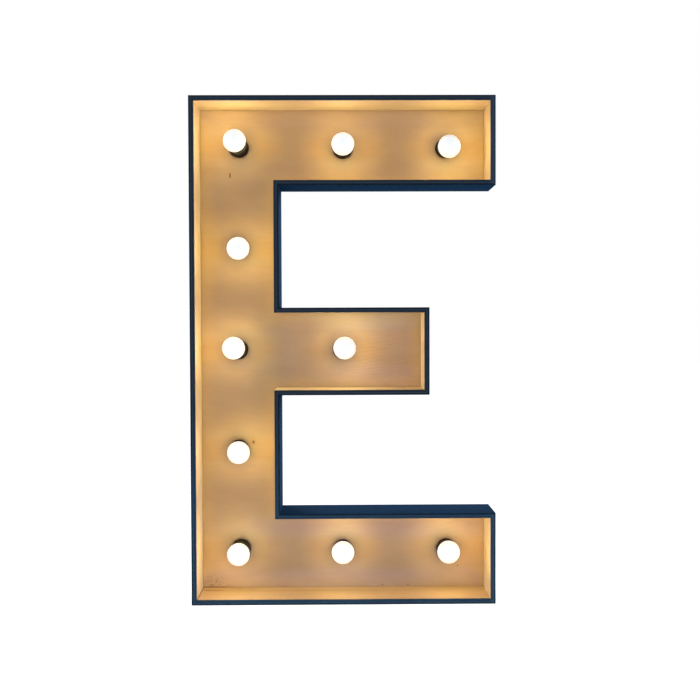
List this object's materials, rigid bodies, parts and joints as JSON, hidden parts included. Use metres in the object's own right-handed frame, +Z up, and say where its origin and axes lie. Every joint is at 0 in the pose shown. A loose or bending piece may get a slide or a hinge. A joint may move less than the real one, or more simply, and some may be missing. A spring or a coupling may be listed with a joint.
{
  "type": "light-up letter",
  "caption": "Free-standing light-up letter E: an open plywood tray with painted edges, globe bulbs in lampholders, and a wiring box with inlet and switch behind.",
  "frame": {"origin": "on the surface that the letter stands on, at the middle of its width and of its depth", "axes": "+X to the letter's right as it is read, +Y to its back, +Z up; the open front of the tray faces -Y"},
  "size_m": [0.6, 0.136, 1],
  "materials": {
    "navy_painted_ply": "satin navy paint on plywood",
    "varnished_ply": "satin varnished plywood",
    "raw_ply": "sanded plywood",
    "black_moulding": "satin black moulding",
    "white_moulding": "semi-gloss white moulding",
    "bulb_neck": "white neck with a plated screw cap",
    "opal_globe": "lit opal diffuser",
    "contact_brass": "bright brass",
    "black_sheath": "matt flexible sheath",
    "brown_sheath": "matt flexible sheath",
    "blue_sheath": "matt flexible sheath"
  },
  "bodies": {
    "root": {"base_wall": "navy_painted_ply", "bottom_arm_end": "navy_painted_ply", "bottom_arm_top": "navy_painted_ply", "lower_stem_wall": "navy_painted_ply", "middle_arm_underside": "navy_painted_ply", "middle_arm_end": "navy_painted_ply", "middle_arm_top": "navy_painted_ply", "upper_stem_wall": "navy_painted_ply", "top_arm_underside": "navy_painted_ply", "top_arm_end": "navy_painted_ply", "top_wall": "navy_painted_ply", "left_wall": "navy_painted_ply", "lamp_panel": "varnished_ply", "rear_frame": "raw_ply", "rear_cover": "raw_ply", "lampholder_1": "black_moulding", "lampholder_2": "black_moulding", "lampholder_3": "black_moulding", "lampholder_4": "black_moulding", "lampholder_5": "black_moulding", "lampholder_6": "black_moulding", "lampholder_7": "black_moulding", "lampholder_8": "black_moulding", "lampholder_9": "black_moulding", "lampholder_10": "black_moulding", "inlet_housing": "black_moulding", "inlet_pin_1": "contact_brass", "inlet_pin_2": "contact_brass", "switch_body": "black_moulding", "switch_tag_feed": "contact_brass", "switch_tag_load": "contact_brass", "wiring_loom": "black_sheath", "cable_clip_1": "white_moulding", "cable_clip_2": "white_moulding", "cable_clip_3": "white_moulding", "terminal_block": "white_moulding", "lead_live": "brown_sheath", "lead_switched": "brown_sheath", "lead_neutral": "blue_sheath"},
    "bulb_1": {"bulb_base_1": "bulb_neck", "bulb_globe_1": "opal_globe"},
    "bulb_2": {"bulb_base_2": "bulb_neck", "bulb_globe_2": "opal_globe"},
    "bulb_3": {"bulb_base_3": "bulb_neck", "bulb_globe_3": "opal_globe"},
    "bulb_4": {"bulb_base_4": "bulb_neck", "bulb_globe_4": "opal_globe"},
    "bulb_5": {"bulb_base_5": "bulb_neck", "bulb_globe_5": "opal_globe"},
    "bulb_6": {"bulb_base_6": "bulb_neck", "bulb_globe_6": "opal_globe"},
    "bulb_7": {"bulb_base_7": "bulb_neck", "bulb_globe_7": "opal_globe"},
    "bulb_8": {"bulb_base_8": "bulb_neck", "bulb_globe_8": "opal_globe"},
    "bulb_9": {"bulb_base_9": "bulb_neck", "bulb_globe_9": "opal_globe"},
    "bulb_10": {"bulb_base_10": "bulb_neck", "bulb_globe_10": "opal_globe"},
    "switch_rocker": {"switch_rocker": "black_moulding"}
  },
  "joints": [
    {"name": "bulb_1_unscrew", "type": "hinge", "parent": "root", "child": "bulb_1", "pos_m": [-0.2105, 0.032, 0.9133], "axis": [-0.0418, -0.9978, 0.0523], "range_deg": [0, 1350]},
    {"name": "bulb_2_unscrew", "type": "hinge", "parent": "root", "child": "bulb_2", "pos_m": [0.0008, 0.032, 0.9113], "axis": [0.0052, -0.9999, -0.0157], "range_deg": [0, 1350]},
    {"name": "bulb_3_unscrew", "type": "hinge", "parent": "root", "child": "bulb_3", "pos_m": [0.2101, 0.032, 0.9125], "axis": [0.0312, -0.9933, -0.1114], "range_deg": [0, 1350]},
    {"name": "bulb_4_unscrew", "type": "hinge", "parent": "root", "child": "bulb_4", "pos_m": [-0.2121, 0.032, 0.70865], "axis": [0.0696, -0.9956, -0.0626], "range_deg": [0, 1350]},
    {"name": "bulb_5_unscrew", "type": "hinge", "parent": "root", "child": "bulb_5", "pos_m": [-0.2141, 0.032, 0.5016], "axis": [-0.0505, -0.9963, 0.0697], "range_deg": [0, 1350]},
    {"name": "bulb_6_unscrew", "type": "hinge", "parent": "root", "child": "bulb_6", "pos_m": [-0.0008, 0.032, 0.5016], "axis": [0.0609, -0.9964, 0.0592], "range_deg": [0, 1350]},
    {"name": "bulb_7_unscrew", "type": "hinge", "parent": "root", "child": "bulb_7", "pos_m": [-0.2145, 0.032, 0.2966], "axis": [0.0802, -0.9966, 0.0209], "range_deg": [0, 1350]},
    {"name": "bulb_8_unscrew", "type": "hinge", "parent": "root", "child": "bulb_8", "pos_m": [-0.2113, 0.032, 0.0912], "axis": [0.014, -0.9992, 0.0366], "range_deg": [0, 1350]},
    {"name": "bulb_9_unscrew", "type": "hinge", "parent": "root", "child": "bulb_9", "pos_m": [-0.0016, 0.032, 0.0888], "axis": [0.0035, -0.9934, 0.1149], "range_deg": [0, 1350]},
    {"name": "bulb_10_unscrew", "type": "hinge", "parent": "root", "child": "bulb_10", "pos_m": [0.2117, 0.032, 0.0896], "axis": [-0.0226, -0.9948, 0.0993], "range_deg": [0, 1350]},
    {"name": "switch_rocker_tilt", "type": "hinge", "parent": "root", "child": "switch_rocker", "pos_m": [-0.10625, 0.06, 0.065], "axis": [-1, 0, 0], "range_deg": [0, 22]}
  ]
}
